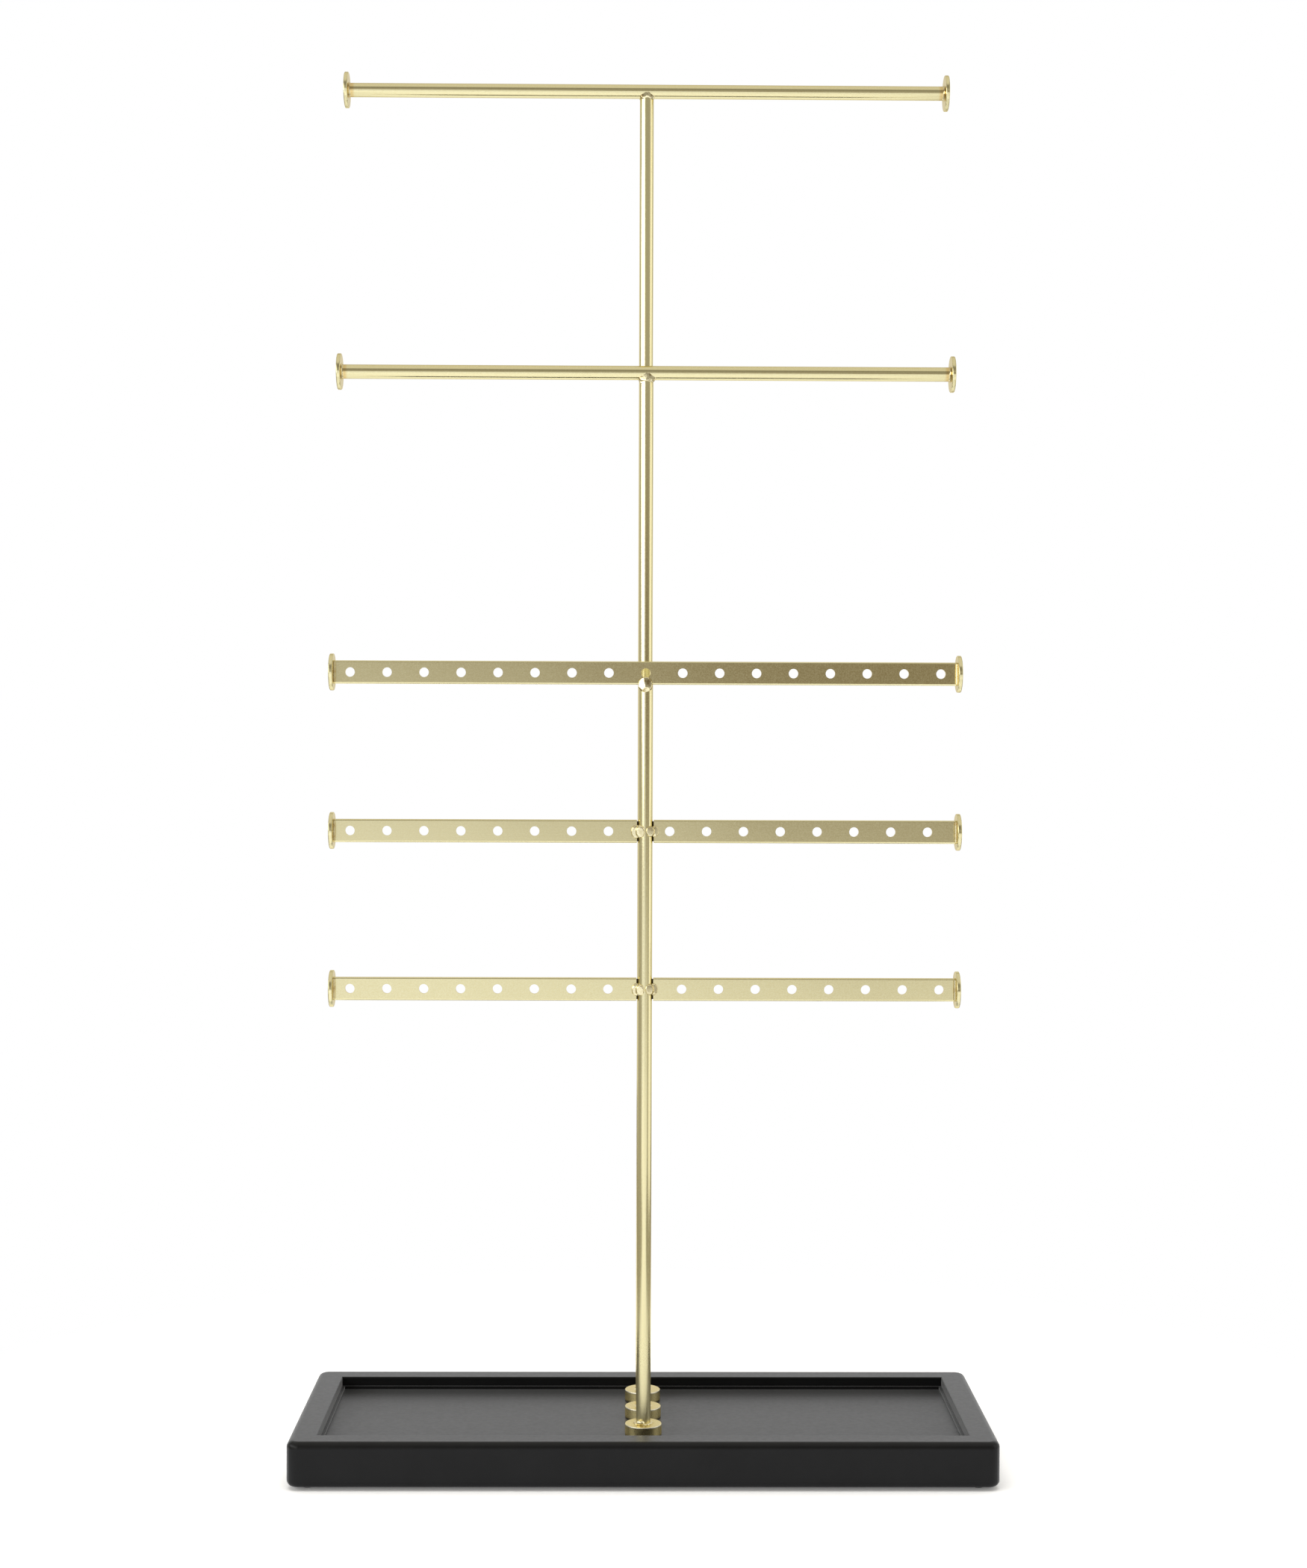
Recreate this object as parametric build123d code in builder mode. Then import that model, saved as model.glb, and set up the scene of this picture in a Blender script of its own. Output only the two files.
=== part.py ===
"""Tiered jewellery stand: five bars on three posts that rise from a shallow black tray.

X runs along the bars, Y from front to back and Z up. The origin lies on the table, under the
middle of the tray. All sizes are in millimetres. The tiers are counted from the top.
"""

import os
from math import cos, radians, sin, sqrt

from build123d import *

# Tray: a mitred wooden frame round a floor panel
tray_width = 241.0
tray_depth = 95.0
rail_height = 15.5
rim_width = 9.6
tray_corner_radius = 4.0
tray_edge_round = 2.2
rim_inner_round = 0.4
wall_depth = 3.2
ledge_width = 1.0
lip_thickness = 1.0
floor_thickness = 6.0
floor_clearance = 0.1

# Rubber pads under the tray's corners
pad_diameter = 5.0
pad_inner_margin = 0.2
pad_thickness = 1.0
pad_edge_round = 0.25

# Posts, and the discs that they stand on
post_diameter = 5.0
post_spacing = 22.3
foot_diameter = 12.7
foot_thickness = 4.1
foot_edge_round = 0.35

# Screws that come up through the tray's floor into the posts
screw_diameter = 3.0
screw_length = 16.0
screw_head_diameter = 6.0
screw_head_height = 2.0
screw_head_round = 0.9
socket_width = 2.0
socket_depth = 1.2
screw_hole_clearance = 0.25
thread_clearance = 0.03
tapped_spare_depth = 2.0

# Bars: two round rods above three flat bars
bar_length = 217.0
rod_diameter = 5.0
top_rod_height = 486.0
second_rod_height = 382.0
third_bar_height = 276.0
flat_bar_spacing = 54.5
flat_bar_height = 8.0
flat_bar_thickness = 1.5
flat_bar_edge_round = 0.55
half_bar_gap = 0.4
saddle_depth = 1.0

# Rows of holes for earrings
hole_diameter = 3.3
hole_pitch = 12.7
hole_end_margin = 4.0

# Discs at the ends of the bars
end_disc_diameter = 12.7
end_disc_thickness = 1.4
end_disc_edge_round = 0.3

# Welds
rod_weld_half_length = 4.6
weld_stand_out = 0.5
bar_weld_radius = 2.4
bar_weld_half_depth = 2.0
bar_weld_drop = 0.15
nugget_radius = 2.4
nugget_half_depth = 1.45
nugget_rise = 0.75
root_bead_radius = 0.7
fillet_weld_leg = 0.7
foot_tack_radius = 1.25
foot_tack_angle = -103.0
end_bead_radius = 0.6

# Levels and places that follow from those sizes
rim_top = pad_thickness + rail_height
floor_top = rim_top - wall_depth - lip_thickness
floor_bottom = floor_top - floor_thickness
foot_top = floor_top + foot_thickness
opening_width = tray_width - 2 * rim_width
opening_depth = tray_depth - 2 * rim_width
post_radius = post_diameter / 2
rod_radius = rod_diameter / 2
front_y = -post_spacing
middle_y = 0.0
rear_y = post_spacing
bar_reach = bar_length / 2 - end_disc_thickness
half_bar_start = post_radius + half_bar_gap
fourth_bar_height = third_bar_height - flat_bar_spacing
fifth_bar_height = fourth_bar_height - flat_bar_spacing
holes_per_side = int((bar_reach - hole_end_margin) // hole_pitch)
side_holes = [hole_pitch * (count + 1) for count in range(holes_per_side)]
sides = {"left": -1, "right": 1}


def save(piece, name):
    """Label one finished piece and write it as its own file."""
    piece.label = name
    export_step(piece, f"parts/{name}.step")


def ellipsoid(plane, half_length, radius):
    """A bead of weld metal: a ball, stretched or flattened along the normal of its plane."""
    with BuildPart() as bead:
        Sphere(radius)
        scale(by=(1, 1, half_length / radius))
    return bead.part.moved(Location(plane))


def fillet_ring(center, direction, radius, leg):
    """A hollow-faced weld ring round a bar of this radius, rising from its foot along a direction."""
    x_dir = Plane(origin=center, z_dir=direction).x_dir
    section = Plane(origin=center, x_dir=x_dir, z_dir=x_dir.cross(Vector(direction)))
    middle = leg * (1 - sqrt(0.5))
    with BuildPart() as ring:
        with BuildSketch(section):
            with BuildLine():
                Line((radius, 0), (radius + leg, 0))
                ThreePointArc((radius + leg, 0), (radius + middle, middle), (radius, leg))
                Line((radius, leg), (radius, 0))
            make_face()
        revolve(axis=Axis(center, direction))
    return ring.part


def tray_frame():
    """The whole frame, with its outer edges rounded and a lip round the foot of its inner walls."""
    with BuildPart() as frame:
        with BuildSketch(Plane.XY.offset(pad_thickness)):
            RectangleRounded(tray_width, tray_depth, tray_corner_radius)
        extrude(amount=rail_height)
        fillet(frame.faces().sort_by(Axis.Z)[0].edges(), tray_edge_round)
        fillet(frame.faces().sort_by(Axis.Z)[-1].edges(), tray_edge_round)
        with BuildSketch(Plane.XY.offset(pad_thickness)):
            Rectangle(opening_width, opening_depth)
        extrude(amount=rail_height, mode=Mode.SUBTRACT)
        fillet(frame.faces().sort_by(Axis.Z)[-1].inner_wires().edges(), rim_inner_round)
        with BuildSketch(Plane.XY.offset(floor_top)):
            Rectangle(opening_width, opening_depth)
            Rectangle(opening_width - 2 * ledge_width, opening_depth - 2 * ledge_width, mode=Mode.SUBTRACT)
        extrude(amount=lip_thickness)
    return frame.part


def tray_rail(frame, outline):
    """One rail: the part of the frame between two mitres."""
    with BuildPart() as rail:
        add(frame)
        with BuildSketch(Plane.XY.offset(pad_thickness)):
            with BuildLine():
                Polyline(*outline, close=True)
            make_face()
        extrude(amount=rail_height, mode=Mode.INTERSECT)
    return rail.part


def tray_floor():
    """The floor panel, let in from below against the lip, with a hole for each post's screw."""
    with BuildPart() as panel:
        with BuildSketch(Plane.XY.offset(floor_bottom)):
            Rectangle(opening_width - 2 * floor_clearance, opening_depth - 2 * floor_clearance)
            with Locations((0, front_y), (0, middle_y), (0, rear_y)):
                Circle(screw_diameter / 2 + screw_hole_clearance, mode=Mode.SUBTRACT)
        extrude(amount=floor_thickness)
    return panel.part


def rubber_pad(x, y):
    """A stick-on pad under one corner of the tray."""
    with BuildPart() as pad:
        with BuildSketch():
            with Locations((x, y)):
                Circle(pad_diameter / 2)
        extrude(amount=pad_thickness)
        fillet(pad.edges().filter_by(GeomType.CIRCLE).sort_by(Axis.Z)[0], pad_edge_round)
    return pad.part


def post_screw(post_y):
    """A round-headed socket screw, head up against the underside of the tray's floor."""
    head_bottom = floor_bottom - screw_head_height
    with BuildPart() as screw:
        with BuildSketch(Plane.XY.offset(head_bottom)):
            with Locations((0, post_y)):
                Circle(screw_head_diameter / 2)
        extrude(amount=screw_head_height)
        fillet(screw.edges().filter_by(GeomType.CIRCLE).sort_by(Axis.Z)[0], screw_head_round)
        with BuildSketch(Plane.XY.offset(floor_bottom)):
            with Locations((0, post_y)):
                Circle(screw_diameter / 2)
        extrude(amount=screw_length)
        with BuildSketch(Plane.XY.offset(head_bottom)):
            with Locations((0, post_y)):
                RegularPolygon(socket_width / 2, 6, major_radius=False)
        extrude(amount=socket_depth, mode=Mode.SUBTRACT)
    return screw.part


def foot_disc(post_y):
    """The thick disc under a post, drilled for the screw."""
    with BuildPart() as foot:
        with BuildSketch(Plane.XY.offset(floor_top)):
            with Locations((0, post_y)):
                Circle(foot_diameter / 2)
        extrude(amount=foot_thickness)
        fillet(foot.edges().filter_by(GeomType.CIRCLE), foot_edge_round)
        with Locations((0, post_y, foot_top)):
            Hole(screw_diameter / 2 + screw_hole_clearance)
    return foot.part


def post(post_y, top):
    """A solid round post on its foot disc, tapped from below for the screw."""
    tapped_depth = floor_bottom + screw_length - foot_top + tapped_spare_depth
    with BuildPart() as upright:
        with BuildSketch(Plane.XY.offset(foot_top)):
            with Locations((0, post_y)):
                Circle(post_radius)
        extrude(amount=top - foot_top)
        with BuildSketch(Plane.XY.offset(foot_top)):
            with Locations((0, post_y)):
                Circle(screw_diameter / 2 + thread_clearance)
        extrude(amount=tapped_depth, mode=Mode.SUBTRACT)
    return upright.part


def saddled_post(post_y, rod, rod_height):
    """A post whose top is hollowed to fit the underside of its rod."""
    blank = post(post_y, rod_height - rod_radius + saddle_depth)
    with BuildPart() as upright:
        add(blank)
        add(rod, mode=Mode.SUBTRACT)
    return upright.part


def foot_weld(post_y):
    """The weld at a post's foot: a ring all round, and a tack left at the front."""
    outward = Vector(cos(radians(foot_tack_angle)), sin(radians(foot_tack_angle)), 0)
    center = Vector(0, post_y, foot_top)
    tack_plane = Plane(origin=center + outward * post_radius, x_dir=outward, z_dir=(0, 0, 1))
    ring = fillet_ring(center, (0, 0, 1), post_radius, fillet_weld_leg)
    tack = ellipsoid(tack_plane, foot_tack_radius, foot_tack_radius)
    with BuildPart() as weld:
        add(ring)
        add(tack)
        with BuildSketch(Plane.XY.offset(foot_top)):
            with Locations((0, post_y)):
                Circle(post_radius)
        extrude(amount=2 * foot_tack_radius, mode=Mode.SUBTRACT)
        split(bisect_by=Plane.XY.offset(foot_top), keep=Keep.TOP)
    return weld.part


def round_rod(post_y, height):
    """A round rod along X, between its end discs."""
    with BuildPart() as rod:
        with BuildSketch(Plane.YZ.offset(-bar_reach)):
            with Locations((post_y, height)):
                Circle(rod_radius)
        extrude(amount=2 * bar_reach)
    return rod.part


def flat_bar(start, end, height, holes):
    """A flat bar along X from start to end, with rounded long edges and a row of holes."""
    front = Plane.XZ.offset(-front_y)
    with BuildPart() as bar:
        with BuildSketch(front):
            with Locations(((start + end) / 2, height)):
                Rectangle(end - start, flat_bar_height)
        extrude(amount=flat_bar_thickness / 2, both=True)
        fillet(bar.edges().filter_by(Axis.X), min(flat_bar_edge_round, 0.4 * flat_bar_thickness))
        with BuildSketch(front):
            with Locations(*[(x, height) for x in holes]):
                Circle(hole_diameter / 2)
        extrude(amount=flat_bar_thickness, both=True, mode=Mode.SUBTRACT)
    return bar.part


def end_disc(side, post_y, height):
    """The disc that closes one end of a bar."""
    with BuildPart() as disc:
        with BuildSketch(Plane.YZ.offset(side * bar_reach)):
            with Locations((post_y, height)):
                Circle(end_disc_diameter / 2)
        extrude(amount=side * end_disc_thickness)
        fillet(disc.edges().filter_by(GeomType.CIRCLE), end_disc_edge_round)
    return disc.part


def rod_weld(post_y, height, upright, rod):
    """The weld under a rod, flowing round the top of its post."""
    plane = Plane(origin=(0, post_y, height - rod_radius / 2), x_dir=(0, 0, 1), z_dir=(1, 0, 0))
    bead = ellipsoid(plane, rod_weld_half_length, post_radius + weld_stand_out)
    with BuildPart() as weld:
        add(bead)
        add(upright, mode=Mode.SUBTRACT)
        add(rod, mode=Mode.SUBTRACT)
    return weld.part


def rod_end_welds(post_y, height):
    """A small weld ring at each end of a rod, against the disc."""
    rings = [
        fillet_ring((side * bar_reach, post_y, height), (-side, 0, 0), rod_radius, fillet_weld_leg)
        for side in sides.values()
    ]
    with BuildPart() as welds:
        for ring in rings:
            add(ring)
    return welds.part


def bar_weld(upright, bar):
    """The weld that holds the third bar on top of the front post, before and behind the bar."""
    offset = flat_bar_thickness / 2 + bar_weld_half_depth - post_radius / 2
    middle = third_bar_height - flat_bar_height / 2 - bar_weld_drop
    planes = [
        Plane(origin=(0, front_y + face * offset, middle), x_dir=(0, 0, 1), z_dir=(0, 1, 0))
        for face in (-1, 1)
    ]
    beads = [ellipsoid(plane, bar_weld_half_depth, bar_weld_radius) for plane in planes]
    with BuildPart() as weld:
        for bead in beads:
            add(bead)
        add(upright, mode=Mode.SUBTRACT)
        add(bar, mode=Mode.SUBTRACT)
    return weld.part


def half_bar_weld(side, height, upright, bar):
    """The round nugget that bridges a half bar and the side of the front post."""
    center = (side * post_radius, front_y - flat_bar_thickness / 2 - nugget_rise, height)
    plane = Plane(origin=center, x_dir=(side, 0, 0), z_dir=(0, 1, 0))
    nugget = ellipsoid(plane, nugget_half_depth, nugget_radius)
    with BuildPart() as weld:
        add(nugget)
        add(upright, mode=Mode.SUBTRACT)
        add(bar, mode=Mode.SUBTRACT)
    return weld.part


def root_welds(height, upright, bars):
    """A bead up the back of the gap between the front post and each half bar."""
    bead_length = flat_bar_height - 2 * flat_bar_edge_round
    with BuildPart() as welds:
        with BuildSketch(Plane.XY.offset(height - bead_length / 2)):
            for side in sides.values():
                with Locations((side * half_bar_start, front_y + flat_bar_thickness / 2)):
                    Circle(root_bead_radius)
        extrude(amount=bead_length)
        for piece in [upright] + bars:
            add(piece, mode=Mode.SUBTRACT)
    return welds.part


def bar_end_welds(height, bars, discs):
    """Small beads up the front and back of a flat bar where it meets its end discs."""
    bead_length = flat_bar_height - 2 * flat_bar_edge_round
    with BuildPart() as welds:
        with BuildSketch(Plane.XY.offset(height - bead_length / 2)):
            for side in sides.values():
                for face in (-1, 1):
                    with Locations((side * bar_reach, front_y + face * flat_bar_thickness / 2)):
                        Circle(end_bead_radius)
        extrude(amount=bead_length)
        for piece in bars + discs:
            add(piece, mode=Mode.SUBTRACT)
    return welds.part


def build_tray():
    """The rails, the floor panel, the pads and the screws."""
    half_width = tray_width / 2
    half_depth = tray_depth / 2
    ridge = half_width - half_depth
    outlines = {
        "front_rail": [(-half_width, -half_depth), (half_width, -half_depth), (ridge, 0), (-ridge, 0)],
        "rear_rail": [(-half_width, half_depth), (half_width, half_depth), (ridge, 0), (-ridge, 0)],
        "left_rail": [(-half_width, -half_depth), (-half_width, half_depth), (-ridge, 0)],
        "right_rail": [(half_width, -half_depth), (half_width, half_depth), (ridge, 0)],
    }
    frame = tray_frame()
    for name, outline in outlines.items():
        save(tray_rail(frame, outline), name)
    save(tray_floor(), "tray_floor")
    pad_inset = rim_width - pad_inner_margin - pad_diameter / 2
    for depth_name, depth_side in {"front": -1, "rear": 1}.items():
        for side_name, side in sides.items():
            pad = rubber_pad(side * (half_width - pad_inset), depth_side * (half_depth - pad_inset))
            save(pad, f"pad_{depth_name}_{side_name}")


def build_foot(stand, post_y, upright):
    """A post's own pieces: the post, its foot disc, the weld between them and the screw."""
    save(upright, f"{stand}_post")
    save(foot_disc(post_y), f"{stand}_foot_disc")
    save(foot_weld(post_y), f"{stand}_foot_weld")
    save(post_screw(post_y), f"{stand}_post_screw")


def build_discs(tier, post_y, height):
    """The two end discs of one tier."""
    discs = {name: end_disc(side, post_y, height) for name, side in sides.items()}
    for name, disc in discs.items():
        save(disc, f"{tier}_{name}_disc")
    return list(discs.values())


def build_rod_stand(stand, tier, post_y, height):
    """A post with one round rod on its top."""
    rod = round_rod(post_y, height)
    upright = saddled_post(post_y, rod, height)
    build_foot(stand, post_y, upright)
    save(rod, tier)
    save(rod_weld(post_y, height, upright, rod), f"{tier}_weld")
    save(rod_end_welds(post_y, height), f"{tier}_end_welds")
    build_discs(tier, post_y, height)


def build_split_tier(tier, height, upright, turned_round):
    """A tier of two half bars, each welded to one side of the front post.

    A half bar's holes stand nearer its outer end. A half that is fitted the other way round has them
    nearer the post.
    """
    bars = []
    for name, side in sides.items():
        holes = side_holes
        if name in turned_round:
            holes = [half_bar_start + bar_reach - x for x in side_holes]
        ends = sorted((side * half_bar_start, side * bar_reach))
        bar = flat_bar(*ends, height, [side * x for x in holes])
        save(bar, f"{tier}_{name}")
        save(half_bar_weld(side, height, upright, bar), f"{tier}_{name}_weld")
        bars.append(bar)
    save(root_welds(height, upright, bars), f"{tier}_root_welds")
    discs = build_discs(tier, front_y, height)
    save(bar_end_welds(height, bars, discs), f"{tier}_end_welds")


def build_front_stand():
    """The front post with its whole bar on top and two tiers of half bars below."""
    upright = post(front_y, third_bar_height - flat_bar_height / 2)
    build_foot("front", front_y, upright)
    holes = [-x for x in side_holes] + [0] + side_holes
    bar = flat_bar(-bar_reach, bar_reach, third_bar_height, holes)
    save(bar, "third_bar")
    save(bar_weld(upright, bar), "third_bar_weld")
    discs = build_discs("third_bar", front_y, third_bar_height)
    save(bar_end_welds(third_bar_height, [bar], discs), "third_bar_end_welds")
    build_split_tier("fourth_bar", fourth_bar_height, upright, turned_round=["right"])
    build_split_tier("fifth_bar", fifth_bar_height, upright, turned_round=[])


os.makedirs("parts", exist_ok=True)
build_tray()
build_rod_stand("rear", "top_rod", rear_y, top_rod_height)
build_rod_stand("middle", "second_rod", middle_y, second_rod_height)
build_front_stand()
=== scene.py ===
"""Looks of the tiered jewellery stand: satin brass in a black painted tray, on a white studio floor."""

import math

import bmesh
import bpy
from mathutils import Matrix, Quaternion, Vector
from mathutils import noise as wander


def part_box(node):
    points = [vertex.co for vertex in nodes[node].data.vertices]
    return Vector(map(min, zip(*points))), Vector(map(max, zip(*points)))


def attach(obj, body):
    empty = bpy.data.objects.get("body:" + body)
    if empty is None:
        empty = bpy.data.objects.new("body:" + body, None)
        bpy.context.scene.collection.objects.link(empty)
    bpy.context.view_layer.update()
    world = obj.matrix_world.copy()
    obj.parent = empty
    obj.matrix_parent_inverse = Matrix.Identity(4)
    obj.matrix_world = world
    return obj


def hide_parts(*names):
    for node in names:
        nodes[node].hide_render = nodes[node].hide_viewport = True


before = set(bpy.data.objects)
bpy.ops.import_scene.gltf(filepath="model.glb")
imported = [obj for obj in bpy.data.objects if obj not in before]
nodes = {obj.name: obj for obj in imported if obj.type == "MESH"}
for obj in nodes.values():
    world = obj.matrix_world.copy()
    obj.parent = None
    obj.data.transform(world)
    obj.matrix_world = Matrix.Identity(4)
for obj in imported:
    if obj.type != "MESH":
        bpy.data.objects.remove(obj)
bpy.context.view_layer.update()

MM = 0.001

# Camera, as the photograph was taken: the lens in millimetres, the place in metres, angles in degrees
CAMERA_LENS = 57.42
CAMERA_PLACE = Vector((-0.0063, -0.8836, 0.2581))
CAMERA_PITCH = 1.348
CAMERA_YAW = 0.603
CAMERA_ROLL = 0.20

# Finishes: colours are linear, grains, lines, waves and patches are counted to the metre, depths and
# heights are in metres, and a roughness is the range that its grain spreads over
NOISE_RANGE = (0.3, 0.7)
NOISE_ROUGHNESS = 0.55

# Brass plate on the posts, rods and bars; a post grows duller downward between two heights
BRASS = (0.90, 0.83, 0.50, 1)
BRASS_DEEP = (0.85, 0.77, 0.44, 1)
BRASS_EDGE = (0.86, 0.78, 0.60, 1)
BRASS_GRAIN = 2200
BRASS_GRAIN_DEPTH = 0.0010 * MM
BRASS_LINE_DEPTH = 0.0015 * MM
POST_LINES = (2400, 2400, 60)
POST_ROUGHNESS = (0.11, 0.17)
POST_DULLED = 0.21
DULL_HEIGHTS = (0.085, 0.012)
ROD_LINES = (60, 2400, 2400)
ROD_ROUGHNESS = (0.10, 0.15)
ROD_HEATED_LENGTH = 2.4 * MM
ROD_HEAT_FADE = 1.2 * MM
BAR_LINES = (90, 1800, 1800)
BAR_ROUGHNESS = (0.11, 0.16)
BAR_GRAIN_DEPTH = 0.0022 * MM
BAR_WAVES = 14
BAR_WAVE_DEPTH = 0.25 * MM

# Turned discs, whose rings and tones are measured in their own boxes, from 0 to 1; a foot disc's tones run
# from a painted shade at its bottom to a painted highlight band near its top
BOX_MIDDLE = (0.5, 0.5, 0.5)
DISC_RING_SCALE = 12
DISC_RING_WANDER = 0.6
DISC_RING_DETAIL = 2
DISC_RING_DEPTH = 0.0008 * MM
DISC_GRAIN = 2600
DISC_GRAIN_DEPTH = 0.0008 * MM
DISC_MOTTLE = 260
END_ROUGHNESS = (0.12, 0.18)
END_MOTTLED = (0, 1)
FOOT_ROUGHNESS = (0.26, 0.34)
FOOT_MOTTLED = (0.6, 1)
FOOT_SIDE = (0.98, 0.83, 0.39, 1)
# A painted highlight for the band just under a foot disc's top rim
FOOT_PAINTED_HIGHLIGHT = (1.0, 0.96, 0.78, 1)
# Painted light up a foot disc: painted shade at the bottom, the side, a painted highlight band, the top
FOOT_PAINTED_SHADE_AND_HIGHLIGHT = {
    0.0: (0.22, 0.17, 0.08, 1),
    0.25: FOOT_SIDE,
    0.82: FOOT_SIDE,
    0.90: FOOT_PAINTED_HIGHLIGHT,
    0.97: FOOT_PAINTED_HIGHLIGHT,
    0.995: (0.90, 0.80, 0.48, 1),
}

# Weld metal, from pale to heated
WELD_PALE = (0.93, 0.85, 0.55, 1)
WELD_WARM = (0.80, 0.71, 0.43, 1)
WELD_GOLDEN = (0.80, 0.62, 0.28, 1)
WELD_TANNED = (0.68, 0.54, 0.27, 1)
WELD_HEATED = (0.46, 0.35, 0.16, 1)
WELD_HEAT_PATCHES = 470
WELD_HEAT_EDGE = (0.48, 0.62)
WELD_GLOSS_PATCHES = 900
WELD_RIPPLES = 1100
WELD_RIPPLE_DEPTH = 0.02 * MM
WELD_ROUGHNESS = (0.10, 0.24)
SIDE_WELD_RIPPLE_DEPTH = 0.008 * MM
SIDE_WELD_ROUGHNESS = (0.20, 0.32)
END_WELD_RIPPLE_DEPTH = 0.006 * MM
FOOT_WELD_RIPPLE_DEPTH = 0.004 * MM

# Burnt weld roots behind the half bars, their dark heat scale darkened further as painted shade in the
# crevices
BURNT_AND_CREVICE_SHADE = (0.060, 0.042, 0.022, 1)
BURNT_SCALE_AND_CREVICE_SHADE = (0.16, 0.115, 0.06, 1)
BURNT_PITS = 1500
BURNT_PIT_DEPTH = 0.05 * MM
BURNT_ROUGHNESS = (0.45, 0.70)

# Black paint on the wooden tray
PAINT = (0.0036, 0.0037, 0.0040, 1)
PAINT_RUBBED = (0.0056, 0.0057, 0.0061, 1)
PAINT_CLOUDS = 60
PAINT_IOR = 1.32
PAINT_ROUGHNESS = (0.29, 0.35)
PAINT_SHEEN = 0.34
PAINT_SHEEN_ROUGHNESS = 0.33
PAINT_SHEEN_TINT = (0.96, 0.98, 1.0, 1)
PAINT_PEEL = 620
PAINT_PEEL_DEPTH = 0.0008 * MM
WOOD_LINES = (28, 700, 700)
WOOD_LINE_DEPTH = 0.0006 * MM

# Rubber pads and steel screws
RUBBER = (0.020, 0.020, 0.021, 1)
RUBBER_DUSTY = (0.045, 0.044, 0.042, 1)
RUBBER_IOR = 1.5
RUBBER_GRAIN = 1800
RUBBER_GRAIN_DEPTH = 0.03 * MM
RUBBER_ROUGHNESS = (0.72, 0.92)
STEEL = (0.58, 0.57, 0.55, 1)
STEEL_DARK = (0.40, 0.39, 0.38, 1)
STEEL_LINES = (2200, 2200, 300)
STEEL_LINE_DEPTH = 0.01 * MM
STEEL_ROUGHNESS = (0.22, 0.42)

# Fillet of weld metal round the front post on its foot disc: a ring of beads, in millimetres
FILLET_BEADS = 12
FILLET_RADIUS = 2.5
FILLET_HEIGHT = 2.1
FILLET_HALF_SIZE = (1.0, 1.0, 0.50)
FILLET_ANGLES = [math.tau * bead / FILLET_BEADS for bead in range(FILLET_BEADS)]
FILLET_MIDDLES = [
    (FILLET_RADIUS * math.sin(angle), -FILLET_RADIUS * math.cos(angle), FILLET_HEIGHT)
    for angle in FILLET_ANGLES
]

# Facets on the welds, named for what they mirror: the directions that they face
TO_SOFTBOX = (-0.46, -0.88, 0.12)
TO_CAMERA = (0.10, -0.99, 0.02)
TO_CARD = (0.62, -0.77, 0.12)
TO_TABLE = (0.10, -0.80, -0.60)
TO_TABLE_FRONT = (-0.15, -0.98, -0.12)
TO_ROOM = (0.33, -0.90, 0.28)

# Welds on the posts, in millimetres across from the posts' axis and in depth and height from the middle
# of what is welded. Each blob has its middle, its half size and its facets, which cut the blob at a share
# of its half size
BLOBS = {
    "top_rod_weld": [
        ((0.2, -1.25, -1.7), (2.75, 1.65, 1.95), {TO_SOFTBOX: 0.80, TO_CARD: 0.74, TO_TABLE: 0.84}),
        ((0.0, 1.25, -1.7), (2.75, 1.65, 1.95), {}),
    ],
    "second_rod_weld": [
        ((0.3, -1.25, -1.6), (3.15, 1.70, 2.20), {TO_SOFTBOX: 0.76, TO_CAMERA: 0.86, TO_CARD: 0.80}),
        ((-1.4, -1.1, -2.9), (1.00, 1.15, 1.50), {TO_SOFTBOX: 0.70}),
        ((0.0, 1.25, -1.7), (2.90, 1.65, 2.00), {}),
    ],
    "third_bar_weld": [
        ((-0.1, -1.85, -4.0), (2.45, 1.75, 2.75), {TO_SOFTBOX: 0.68, TO_ROOM: 0.66, TO_TABLE: 0.84}),
        ((0.0, 1.85, -4.15), (2.40, 1.75, 2.40), {}),
    ],
    "fourth_bar_left_weld": [
        ((-3.2, -1.1, -0.1), (1.75, 0.80, 2.35), {TO_TABLE_FRONT: 0.70}),
        ((-1.6, -1.75, 0.05), (1.70, 1.45, 2.30), {TO_TABLE_FRONT: 0.66}),
    ],
    "fourth_bar_right_weld": [
        ((1.6, -1.75, 0.05), (1.60, 1.50, 1.90), {TO_CAMERA: 0.62}),
        ((3.25, -1.15, 0.0), (1.35, 0.85, 2.00), {TO_CARD: 0.72}),
    ],
    "fifth_bar_left_weld": [
        ((-2.9, -1.15, -0.1), (1.65, 0.80, 2.20), {TO_TABLE_FRONT: 0.72}),
        ((-1.5, -1.75, -0.1), (1.60, 1.40, 2.15), {TO_TABLE_FRONT: 0.68}),
    ],
    "fifth_bar_right_weld": [
        ((1.5, -1.75, 0.05), (1.60, 1.42, 2.00), {TO_CAMERA: 0.68, TO_TABLE: 0.85}),
        ((2.9, -1.15, 0.0), (1.55, 0.80, 2.05), {TO_CARD: 0.74}),
    ],
    "front_foot_weld": [
        *((middle, FILLET_HALF_SIZE, {}) for middle in FILLET_MIDDLES),
        ((-0.95, -2.75, 2.75), (1.45, 1.05, 1.00), {TO_SOFTBOX: 0.86, TO_TABLE: 0.88}),
    ],
}
WELDED_TO = {"front_foot_weld": "front_foot_disc"}

# How a blob is shaped: its ripple as a share of its half size, how far a facet presses the metal back,
# and how the blobs of one weld flow together
BALL_DIVISIONS = 4
BLOB_RIPPLE = 0.07
RIPPLE_SCALE = 1.8
RIPPLE_FALLOFF = 1.0
RIPPLE_LACUNARITY = 2.0
RIPPLE_OCTAVES = 3
FACET_PRESS = 0.9
FLOW_VOXEL = 0.10 * MM
FLOW_FACTOR = 0.5
FLOW_STEPS = 4

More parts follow.
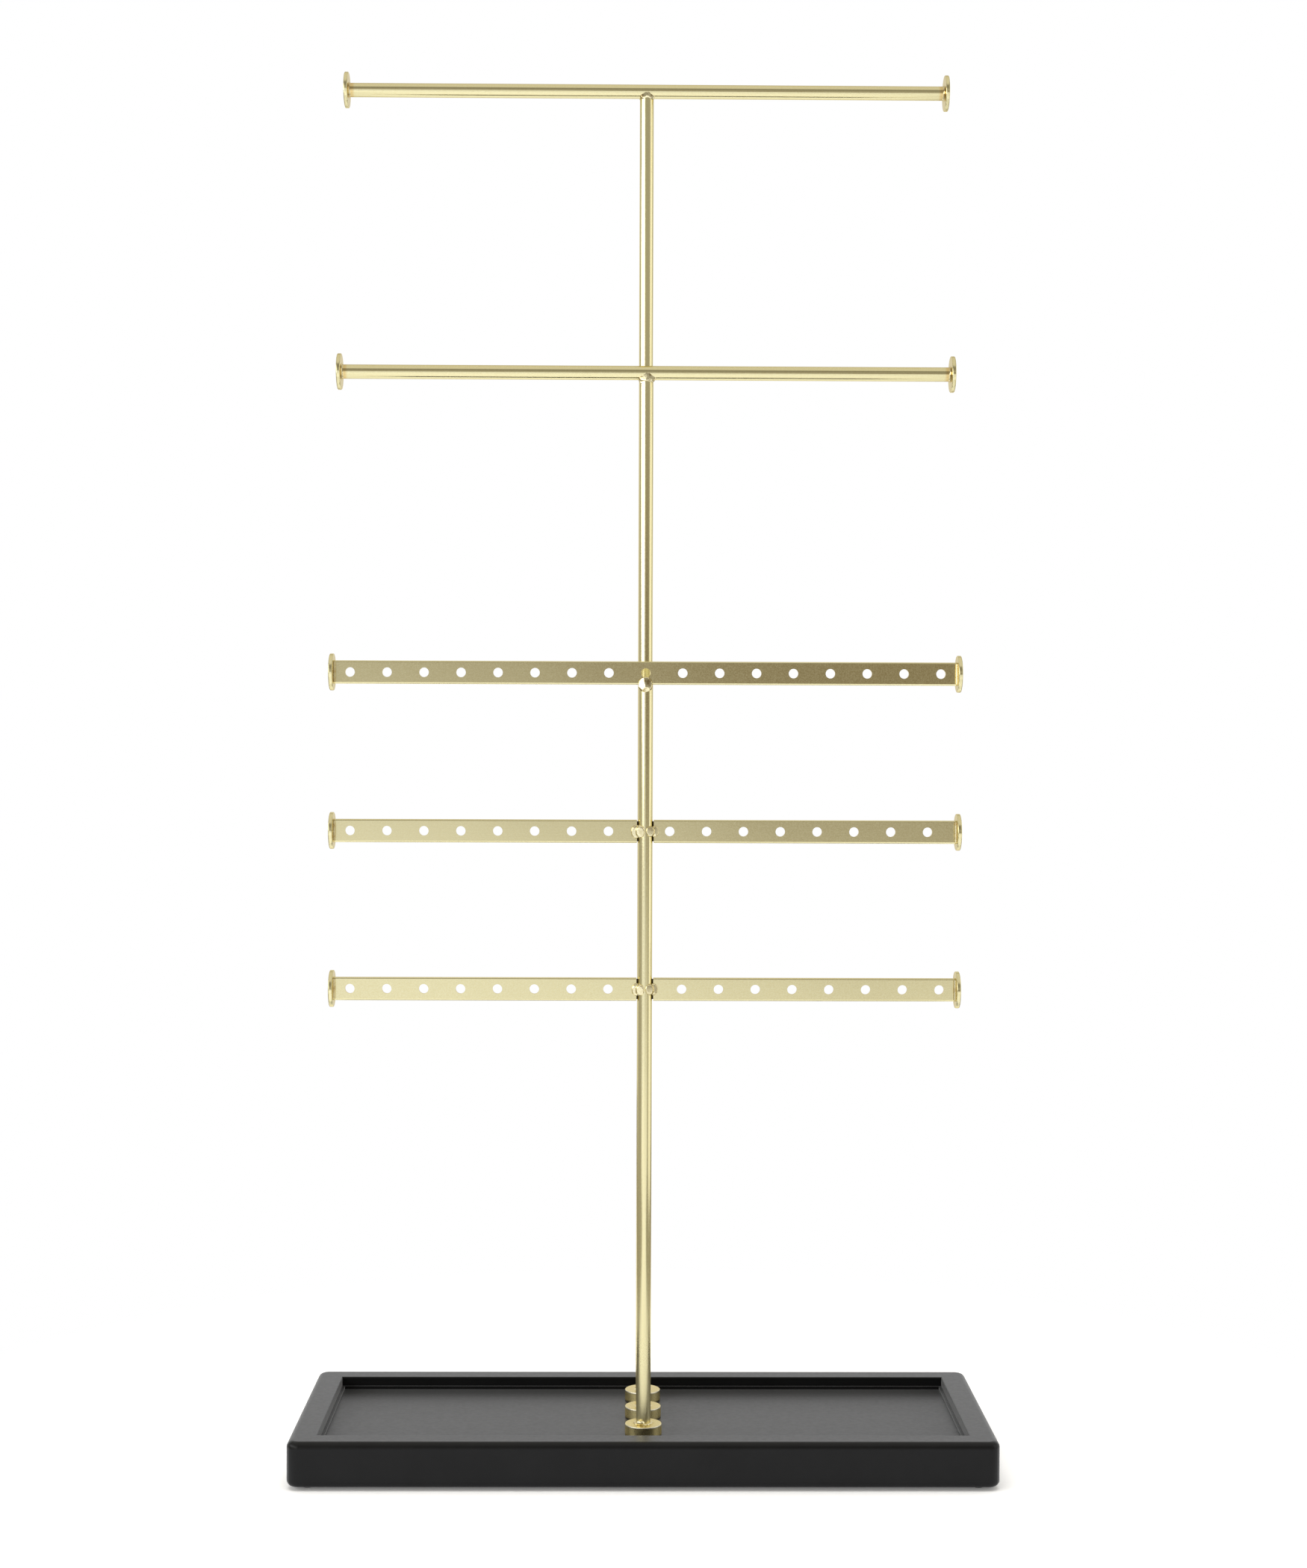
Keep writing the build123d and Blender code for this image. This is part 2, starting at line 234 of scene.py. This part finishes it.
# Studio: radiance 1 is the white of the picture, and lengths are in metres
WHITE = (1, 1, 1, 1)
LIGHT_AIM = Vector((0, 0, 0.25))
LIGHT_DISTANCE = 1.4
TABLE_WIDTH = 0.95
TABLE_FRONT = -1.1
TABLE_BACK = 0.8
FLOOR_MIRRORED = (0.93, 0.95, 1.0, 1)
# Painted shade on the table beside the tray, seen only in reflections, and how far it reaches
FLOOR_PAINTED_SHADE_BESIDE = (0.32, 0.305, 0.27, 1)
SHADE_BESIDE_REACH = (0.14, 0.24)
SHADE_BESIDE_FRONT = (-0.50, -0.36)
FLOOR_SEEN = (1.05, 1.05, 1.05, 1)
FLOOR_GLOW = 0.14
SHADOW_REACH = (0.15, 0.30)

# Surroundings: their tones, and where these change along a direction's share to the right, back or up
BACKDROP = (0.84, 0.84, 0.84, 1)
BACKDROP_FADE = (0.35, 0.80)
BACKDROP_TOP_FADE = (0.45, 0.75)
ROOM_TONES = {
    0.0: (0.17, 0.125, 0.065, 1),
    0.16: (0.46, 0.44, 0.395, 1),
    0.40: (0.28, 0.26, 0.22, 1),
}
ROOM_TOP = (0.72, 0.69, 0.63, 1)
ROOM_TOP_FADE = (0.62, 0.85)
ROOM_SIDE = (0.42, 0.40, 0.36, 1)
ROOM_SIDE_FADE = (-0.80, -0.55)
TABLE_LIT = (0.93, 0.945, 1.01, 1)
TABLE_SHADED = (0.88, 0.87, 0.83, 1)
TABLE_SHADE_FADE = (-0.3, 0.6)
HORIZON_FADE = (-0.09, 0.11)
HORIZON_TILT = 0.075
HORIZON_TILT_FADE = (-0.10, 0.10)

# A mix node's sockets for colours, which come after those for numbers and vectors
MIX_FIRST_COLOUR = 6
MIX_SECOND_COLOUR = 7
MIX_COLOUR_RESULT = 2


def feed(tree, value, socket):
    """Gives a socket a constant or another node's output."""
    if isinstance(value, bpy.types.NodeSocket):
        tree.links.new(value, socket)
    else:
        socket.default_value = value


def calculate(tree, operation, *operands):
    """The result of a math node on constants or other nodes' outputs."""
    node = tree.nodes.new("ShaderNodeMath")
    node.operation = operation
    for operand, socket in zip(operands, node.inputs):
        feed(tree, operand, socket)
    return node.outputs["Value"]


def axes_of(tree, vector):
    """The X, Y and Z of a node's vector."""
    split = tree.nodes.new("ShaderNodeSeparateXYZ")
    tree.links.new(vector, split.inputs["Vector"])
    return [split.outputs[axis] for axis in "XYZ"]


def smooth_step(tree, value, low, high):
    """A soft step of a node's output: 0 at low and 1 at high."""
    step = tree.nodes.new("ShaderNodeMapRange")
    step.interpolation_type = "SMOOTHSTEP"
    step.inputs["From Min"].default_value = low
    step.inputs["From Max"].default_value = high
    tree.links.new(value, step.inputs["Value"])
    return step.outputs["Result"]


def mix_colour(tree, factor, first, second):
    """A mix of two colours, each a constant or another node's output."""
    mix = tree.nodes.new("ShaderNodeMix")
    mix.data_type = "RGBA"
    tree.links.new(factor, mix.inputs["Factor"])
    feed(tree, first, mix.inputs[MIX_FIRST_COLOUR])
    feed(tree, second, mix.inputs[MIX_SECOND_COLOUR])
    return mix.outputs[MIX_COLOUR_RESULT]


def tone_ramp(tree, value, tones):
    """A colour that follows a node's output through the given stops.

    Stops that a new ramp lacks start in its middle, and then all are put in their places.
    """
    ramp = tree.nodes.new("ShaderNodeValToRGB")
    stops = ramp.color_ramp.elements
    while len(stops) < len(tones):
        stops.new(0.5)
    for stop, (position, colour) in zip(stops, tones.items()):
        stop.position = position
        stop.color = colour
    tree.links.new(value, ramp.inputs["Fac"])
    return ramp.outputs["Color"]


def mix_shader(tree, factor, first, second):
    """A mix of two shaders."""
    mix = tree.nodes.new("ShaderNodeMixShader")
    tree.links.new(factor, mix.inputs["Fac"])
    tree.links.new(first, mix.inputs[1])
    tree.links.new(second, mix.inputs[2])
    return mix.outputs["Shader"]


def noise(tree, vector, scale, detail=3):
    """Noise whose grains are about 1 / scale metres wide."""
    texture = tree.nodes.new("ShaderNodeTexNoise")
    texture.inputs["Scale"].default_value = scale
    texture.inputs["Detail"].default_value = detail
    texture.inputs["Roughness"].default_value = NOISE_ROUGHNESS
    tree.links.new(vector, texture.inputs["Vector"])
    return texture.outputs["Fac"]


def line_noise(tree, vector, lines, detail=3):
    """Noise with its own count of grains to the metre along each axis, so that it draws out into lines."""
    mapping = tree.nodes.new("ShaderNodeMapping")
    mapping.inputs["Scale"].default_value = lines
    tree.links.new(vector, mapping.inputs["Vector"])
    return noise(tree, mapping.outputs["Vector"], scale=1, detail=detail)


def span(tree, value, low=0, high=1):
    """A noise, which lies mostly within its usual range, spread from low to high."""
    spread = tree.nodes.new("ShaderNodeMapRange")
    spread.inputs["From Min"].default_value = NOISE_RANGE[0]
    spread.inputs["From Max"].default_value = NOISE_RANGE[1]
    spread.inputs["To Min"].default_value = low
    spread.inputs["To Max"].default_value = high
    tree.links.new(value, spread.inputs["Value"])
    return spread.outputs["Result"]


def bump(tree, height, depth, below=None):
    """A bump of the given depth in metres, laid over another bump's normal."""
    node = tree.nodes.new("ShaderNodeBump")
    node.inputs["Distance"].default_value = depth
    tree.links.new(height, node.inputs["Height"])
    if below is not None:
        tree.links.new(below, node.inputs["Normal"])
    return node.outputs["Normal"]


def new_finish(name, metallic=0.0, ior=1.45):
    """A material with its tree, shader and texture coordinates, of which Object is in metres."""
    material = bpy.data.materials.new(name)
    material.use_nodes = True
    tree = material.node_tree
    shader = tree.nodes["Principled BSDF"]
    shader.inputs["Metallic"].default_value = metallic
    shader.inputs["IOR"].default_value = ior
    place = tree.nodes.new("ShaderNodeTexCoord")
    return material, tree, shader, place


def new_brass(name):
    """A new metal finish whose edges shine in the colour of brass."""
    material, tree, shader, place = new_finish(name, metallic=1.0)
    shader.inputs["Specular Tint"].default_value = BRASS_EDGE
    return material, tree, shader, place


def link_finish(tree, shader, colour, roughness, normal):
    """Links a finish's colour, roughness and relief to its shader."""
    tree.links.new(colour, shader.inputs["Base Color"])
    tree.links.new(roughness, shader.inputs["Roughness"])
    tree.links.new(normal, shader.inputs["Normal"])


def brass_finish(name, lines, roughness, grain_depth=BRASS_GRAIN_DEPTH, wave_depth=0.0, dulled=0.0,
                 heated_from=None):
    """Satin brass plate with a fine grain and faint lines along the drawn direction.

    A thin bar has a slow wave. A post is duller near its foot, where it was welded and cleaned. A rod is
    tinted by the heat of its end welds, further out than the given distance from its middle.
    """
    material, tree, shader, place = new_brass(name)
    metres = place.outputs["Object"]
    across, _, height = axes_of(tree, metres)
    grain = noise(tree, metres, BRASS_GRAIN, detail=2)
    drawn = line_noise(tree, metres, lines, detail=4)
    plate = mix_colour(tree, span(tree, grain), BRASS_DEEP, BRASS)
    if heated_from:
        outward = calculate(tree, "ABSOLUTE", across)
        heat = smooth_step(tree, outward, heated_from, heated_from + ROD_HEAT_FADE)
        plate = mix_colour(tree, heat, plate, WELD_GOLDEN)
    satin = span(tree, grain, *roughness)
    if dulled:
        lowness = smooth_step(tree, height, *DULL_HEIGHTS)
        satin = calculate(tree, "MULTIPLY_ADD", lowness, dulled, satin)
    relief = bump(tree, grain, grain_depth)
    relief = bump(tree, drawn, BRASS_LINE_DEPTH, below=relief)
    if wave_depth:
        waves = noise(tree, metres, BAR_WAVES, detail=1)
        relief = bump(tree, waves, wave_depth, below=relief)
    link_finish(tree, shader, plate, satin, relief)
    return material


def disc_finish(name, axis, roughness, mottled, tones=None):
    """Turned satin brass: fine rings about the disc's axis, and any painted shade and highlight up its
    height.
    """
    material, tree, shader, place = new_brass(name)
    centred = tree.nodes.new("ShaderNodeVectorMath")
    centred.operation = "SUBTRACT"
    centred.inputs[1].default_value = BOX_MIDDLE
    tree.links.new(place.outputs["Generated"], centred.inputs[0])
    rings = tree.nodes.new("ShaderNodeTexWave")
    rings.wave_type = "RINGS"
    rings.rings_direction = axis
    rings.inputs["Scale"].default_value = DISC_RING_SCALE
    rings.inputs["Distortion"].default_value = DISC_RING_WANDER
    rings.inputs["Detail"].default_value = DISC_RING_DETAIL
    tree.links.new(centred.outputs["Vector"], rings.inputs["Vector"])
    grain = noise(tree, place.outputs["Object"], DISC_GRAIN, detail=2)
    mottle = noise(tree, place.outputs["Object"], DISC_MOTTLE)
    plate = BRASS
    # Painted shade at the bottom and a painted highlight near the top rim, by height
    if tones:
        height = axes_of(tree, place.outputs["Generated"])[2]
        plate = tone_ramp(tree, height, tones)
    colour = mix_colour(tree, span(tree, mottle, *mottled), BRASS_DEEP, plate)
    relief = bump(tree, rings.outputs["Fac"], DISC_RING_DEPTH)
    relief = bump(tree, grain, DISC_GRAIN_DEPTH, below=relief)
    link_finish(tree, shader, colour, span(tree, grain, *roughness), relief)
    return material


def weld_finish(name, pale, heated, ripple_depth, roughness=WELD_ROUGHNESS):
    """Plated weld metal: glossy, rippled, and darker where it was heated."""
    material, tree, shader, place = new_brass(name)
    metres = place.outputs["Object"]
    heat = smooth_step(tree, noise(tree, metres, WELD_HEAT_PATCHES), *WELD_HEAT_EDGE)
    gloss = noise(tree, metres, WELD_GLOSS_PATCHES)
    ripples = noise(tree, metres, WELD_RIPPLES, detail=2)
    colour = mix_colour(tree, heat, pale, heated)
    link_finish(tree, shader, colour, span(tree, gloss, *roughness), bump(tree, ripples, ripple_depth))
    return material


def burnt_and_crevice_shade_finish():
    """Unplated weld root: dark scale from the heat, dull and pitted, and darker still as painted crevice
    shade.
    """
    material, tree, shader, place = new_finish("burnt_weld_with_painted_shade", metallic=1.0)
    pits = noise(tree, place.outputs["Object"], BURNT_PITS)
    colour = mix_colour(tree, span(tree, pits), BURNT_AND_CREVICE_SHADE, BURNT_SCALE_AND_CREVICE_SHADE)
    link_finish(tree, shader, colour, span(tree, pits, *BURNT_ROUGHNESS), bump(tree, pits, BURNT_PIT_DEPTH))
    return material


def paint_finish():
    """Satin black paint on wood: a faint orange peel, with the grain only just showing through."""
    material, tree, shader, place = new_finish("satin_black_paint", ior=PAINT_IOR)
    shader.inputs["Sheen Weight"].default_value = PAINT_SHEEN
    shader.inputs["Sheen Roughness"].default_value = PAINT_SHEEN_ROUGHNESS
    shader.inputs["Sheen Tint"].default_value = PAINT_SHEEN_TINT
    metres = place.outputs["Object"]
    peel = noise(tree, metres, PAINT_PEEL, detail=2)
    wood = line_noise(tree, metres, WOOD_LINES, detail=4)
    clouds = noise(tree, metres, PAINT_CLOUDS)
    colour = mix_colour(tree, span(tree, clouds), PAINT, PAINT_RUBBED)
    relief = bump(tree, peel, PAINT_PEEL_DEPTH)
    relief = bump(tree, wood, WOOD_LINE_DEPTH, below=relief)
    link_finish(tree, shader, colour, span(tree, peel, *PAINT_ROUGHNESS), relief)
    return material


def rubber_finish():
    """Moulded rubber with a fine dusty grain."""
    material, tree, shader, place = new_finish("pad_rubber", ior=RUBBER_IOR)
    grain = noise(tree, place.outputs["Object"], RUBBER_GRAIN)
    colour = mix_colour(tree, span(tree, grain), RUBBER, RUBBER_DUSTY)
    relief = bump(tree, grain, RUBBER_GRAIN_DEPTH)
    link_finish(tree, shader, colour, span(tree, grain, *RUBBER_ROUGHNESS), relief)
    return material


def steel_finish():
    """Zinc-bright steel with a fine drawn grain."""
    material, tree, shader, place = new_finish("screw_steel", metallic=1.0)
    drawn = line_noise(tree, place.outputs["Object"], STEEL_LINES)
    colour = mix_colour(tree, span(tree, drawn), STEEL_DARK, STEEL)
    relief = bump(tree, drawn, STEEL_LINE_DEPTH)
    link_finish(tree, shader, colour, span(tree, drawn, *STEEL_ROUGHNESS), relief)
    return material


def make_finishes():
    """Each finish under a word of the names that it is for, with the words that decide first at the top."""
    rod_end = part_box("top_rod")[1][0]
    side_weld = weld_finish("pale_side_weld", WELD_PALE, WELD_WARM, SIDE_WELD_RIPPLE_DEPTH,
                            SIDE_WELD_ROUGHNESS)
    paint = paint_finish()
    return {
        # Weld roots: burnt scale, darkened as painted shade for the crevices between bars and posts
        "root_weld": burnt_and_crevice_shade_finish(),
        "end_weld": weld_finish("heated_end_weld", WELD_WARM, WELD_TANNED, END_WELD_RIPPLE_DEPTH),
        "foot_weld": weld_finish("foot_weld_brass", WELD_PALE, WELD_WARM, FOOT_WELD_RIPPLE_DEPTH),
        "left_weld": side_weld,
        "right_weld": side_weld,
        "weld": weld_finish("weld_brass", WELD_PALE, WELD_HEATED, WELD_RIPPLE_DEPTH),
        # Foot discs: painted shade at the bottom and a painted highlight near the top rim
        "foot_disc": disc_finish("turned_brass_foot_with_painted_light", "Z", FOOT_ROUGHNESS, FOOT_MOTTLED, FOOT_PAINTED_SHADE_AND_HIGHLIGHT),
        "disc": disc_finish("turned_brass_end", "X", END_ROUGHNESS, END_MOTTLED),
        "screw": steel_finish(),
        "post": brass_finish("drawn_brass_post", POST_LINES, POST_ROUGHNESS, dulled=POST_DULLED),
        "rod": brass_finish("drawn_brass_rod", ROD_LINES, ROD_ROUGHNESS,
                            heated_from=rod_end - ROD_HEATED_LENGTH),
        "bar": brass_finish("brushed_brass_bar", BAR_LINES, BAR_ROUGHNESS, BAR_GRAIN_DEPTH, BAR_WAVE_DEPTH),
        "pad": rubber_finish(),
        "rail": paint,
        "tray": paint,
    }


def dress_nodes():
    """Gives each CAD node the finish of the piece that it is."""
    finishes = make_finishes()
    for name, node in nodes.items():
        finish = next(finishes[word] for word in finishes if word in name)
        node.data.materials.clear()
        node.data.materials.append(finish)


def shape_blob(vertices, origin, middle, half_size, facets):
    """Shapes a unit ball into a blob of weld metal: rippled, flattened by facets, stretched and placed."""
    for vertex in vertices:
        point = vertex.co.normalized()
        spot = point * RIPPLE_SCALE + Vector(middle)
        point *= 1 + BLOB_RIPPLE * wander.fractal(spot, RIPPLE_FALLOFF, RIPPLE_LACUNARITY, RIPPLE_OCTAVES)
        for direction, cut in facets.items():
            outward = Vector(direction).normalized()
            point -= outward * max(0.0, point.dot(outward) - cut) * FACET_PRESS
        vertex.co = [
            start + MM * (centre + half * share)
            for start, centre, half, share in zip(origin, middle, half_size, point)
        ]


def flow_together(piece):
    """Gives the blobs of one weld a common skin, and smooths it."""
    merge = piece.modifiers.new("merge", "REMESH")
    merge.mode = "VOXEL"
    merge.voxel_size = FLOW_VOXEL
    merge.use_smooth_shade = True
    flow = piece.modifiers.new("flow", "SMOOTH")
    flow.factor = FLOW_FACTOR
    flow.iterations = FLOW_STEPS


def make_welds():
    """The welds on the posts, as lumps of metal whose blobs flow into one another."""
    post_low, post_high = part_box("front_post")
    for name, blobs in BLOBS.items():
        low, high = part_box(WELDED_TO.get(name, name.removesuffix("_weld")))
        origin = [(start + end) / 2 for start, end in zip(low, high)]
        origin[0] = (post_low[0] + post_high[0]) / 2
        shape = bmesh.new()
        for middle, half_size, facets in blobs:
            ball = bmesh.ops.create_icosphere(shape, subdivisions=BALL_DIVISIONS, radius=1)
            shape_blob(ball["verts"], origin, middle, half_size, facets)
        mesh = bpy.data.meshes.new(name + "_lumps")
        shape.to_mesh(mesh)
        shape.free()
        piece = bpy.data.objects.new(name + "_lumps", mesh)
        bpy.context.scene.collection.objects.link(piece)
        flow_together(piece)
        mesh.materials.append(nodes[name].data.materials[0])
        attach(piece, "root")
        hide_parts(name)


def floor_finish():
    """A table that the camera sees as pure white, with the stand's soft shadow on it.

    To other rays it is a pale table, darkened beside the tray by painted shade.
    """
    material = bpy.data.materials.new("studio_white")
    material.use_nodes = True
    tree = material.node_tree
    tree.nodes.remove(tree.nodes["Principled BSDF"])
    place = tree.nodes.new("ShaderNodeTexCoord").outputs["Object"]
    across, along, _ = axes_of(tree, place)

    # Painted shade on the table beside the tray, which only reflections see
    painted_shade_aside = smooth_step(tree, calculate(tree, "ABSOLUTE", across), *SHADE_BESIDE_REACH)
    painted_shade_beside = calculate(tree, "MULTIPLY", painted_shade_aside, smooth_step(tree, along, *SHADE_BESIDE_FRONT))
    mirrored = tree.nodes.new("ShaderNodeBsdfDiffuse")
    tree.links.new(mix_colour(tree, painted_shade_beside, FLOOR_MIRRORED, FLOOR_PAINTED_SHADE_BESIDE), mirrored.inputs["Color"])

    matt = tree.nodes.new("ShaderNodeBsdfDiffuse")
    matt.inputs["Color"].default_value = FLOOR_SEEN
    glow = tree.nodes.new("ShaderNodeEmission")
    glow.inputs["Strength"].default_value = FLOOR_GLOW
    shadowed = tree.nodes.new("ShaderNodeAddShader")
    tree.links.new(matt.outputs["BSDF"], shadowed.inputs[0])
    tree.links.new(glow.outputs["Emission"], shadowed.inputs[1])

    distance = tree.nodes.new("ShaderNodeVectorMath")
    distance.operation = "LENGTH"
    tree.links.new(place, distance.inputs[0])
    far = smooth_step(tree, distance.outputs["Value"], *SHADOW_REACH)
    white = tree.nodes.new("ShaderNodeEmission")
    seen = mix_shader(tree, far, shadowed.outputs["Shader"], white.outputs["Emission"])

    path = tree.nodes.new("ShaderNodeLightPath")
    surface = mix_shader(tree, path.outputs["Is Camera Ray"], mirrored.outputs["BSDF"], seen)
    tree.links.new(surface, tree.nodes["Material Output"].inputs["Surface"])
    return material


def make_floor():
    """A table top under the stand."""
    side = TABLE_WIDTH / 2
    corners = [
        (-side, TABLE_FRONT, 0),
        (side, TABLE_FRONT, 0),
        (side, TABLE_BACK, 0),
        (-side, TABLE_BACK, 0),
    ]
    mesh = bpy.data.meshes.new("studio_floor")
    mesh.from_pydata(corners, [], [(0, 1, 2, 3)])
    mesh.materials.append(floor_finish())
    floor = bpy.data.objects.new("studio_floor", mesh)
    bpy.context.scene.collection.objects.link(floor)


def softbox(name, azimuth, elevation, size, radiance, shape="RECTANGLE", lean=0):
    """A soft area light aimed at the stand's middle, with angles in degrees.

    Azimuth 0 is the camera's side, and it grows to the right. A flat light's power is its radiance times
    pi times its area.
    """
    turn = math.radians(azimuth)
    rise = math.radians(elevation)
    away = Vector((math.sin(turn) * math.cos(rise), -math.cos(turn) * math.cos(rise), math.sin(rise)))
    width, height = size
    light = bpy.data.lights.new(name, "AREA")
    light.shape = shape
    light.size = width
    light.size_y = height
    area = width * height * (math.pi / 4 if shape == "ELLIPSE" else 1)
    light.energy = radiance * math.pi * area
    lamp = bpy.data.objects.new(name, light)
    lamp.location = LIGHT_AIM + away * LIGHT_DISTANCE
    lamp.rotation_mode = "QUATERNION"
    aimed = (-away).to_track_quat("-Z", "Y")
    lamp.rotation_quaternion = aimed @ Quaternion((0, 0, 1), math.radians(lean))
    lamp.visible_camera = False
    bpy.context.scene.collection.objects.link(lamp)
    return lamp


def make_lights():
    """A long leaning softbox at the left, a white card at the right and a soft light over the table."""
    softbox("left_softbox", azimuth=-55, elevation=15, size=(2.2, 0.75), radiance=2.0,
            shape="ELLIPSE", lean=-14)
    softbox("right_card", azimuth=86, elevation=2, size=(1.15, 1.9), radiance=0.68)
    overhead = softbox("table_light", azimuth=-35, elevation=86, size=(1.4, 1.4), radiance=2.2)
    overhead.visible_glossy = False


def make_world():
    """A white backdrop behind the stand, a dim room round the camera and a pale table below the horizon."""
    world = bpy.data.worlds.new("studio")
    bpy.context.scene.world = world
    world.use_nodes = True
    tree = world.node_tree
    place = tree.nodes.new("ShaderNodeTexCoord")
    right, back, up = axes_of(tree, place.outputs["Generated"])

    room = tone_ramp(tree, up, ROOM_TONES)
    table = mix_colour(tree, smooth_step(tree, right, *TABLE_SHADE_FADE), TABLE_LIT, TABLE_SHADED)
    rightness = smooth_step(tree, right, *HORIZON_TILT_FADE)
    horizon = calculate(tree, "MULTIPLY_ADD", rightness, HORIZON_TILT, up)
    front = mix_colour(tree, smooth_step(tree, horizon, *HORIZON_FADE), table, room)
    sides = mix_colour(tree, smooth_step(tree, back, *ROOM_SIDE_FADE), front, ROOM_SIDE)
    rear = mix_colour(tree, smooth_step(tree, up, *BACKDROP_TOP_FADE), BACKDROP, ROOM_SIDE)
    around = mix_colour(tree, smooth_step(tree, back, *BACKDROP_FADE), sides, rear)
    everywhere = mix_colour(tree, smooth_step(tree, up, *ROOM_TOP_FADE), around, ROOM_TOP)
    studio = tree.nodes["Background"]
    tree.links.new(everywhere, studio.inputs["Color"])

    plain = tree.nodes.new("ShaderNodeBackground")
    plain.inputs["Color"].default_value = WHITE
    path = tree.nodes.new("ShaderNodeLightPath")
    seen = path.outputs["Is Camera Ray"]
    choice = mix_shader(tree, seen, studio.outputs["Background"], plain.outputs["Background"])
    tree.links.new(choice, tree.nodes["World Output"].inputs["Surface"])


def make_camera():
    """The photograph's view. The image's long side is the sensor's width."""
    pitch, yaw, roll = (math.radians(angle) for angle in (CAMERA_PITCH, CAMERA_YAW, CAMERA_ROLL))
    right = Vector((math.cos(yaw), -math.sin(yaw), 0))
    forward = Vector((math.sin(yaw) * math.cos(pitch), math.cos(yaw) * math.cos(pitch), -math.sin(pitch)))
    up = right.cross(forward)
    tilt = Matrix.Rotation(-roll, 3, forward)
    axes = Matrix((tilt @ right, tilt @ up, -forward)).transposed()
    data = bpy.data.cameras.new("camera")
    data.lens = CAMERA_LENS
    camera = bpy.data.objects.new("camera", data)
    camera.matrix_world = Matrix.Translation(CAMERA_PLACE) @ axes.to_4x4()
    bpy.context.scene.collection.objects.link(camera)
    bpy.context.scene.camera = camera


bpy.context.scene.view_settings.view_transform = "Standard"
dress_nodes()
make_welds()
make_floor()
make_lights()
make_world()
make_camera()
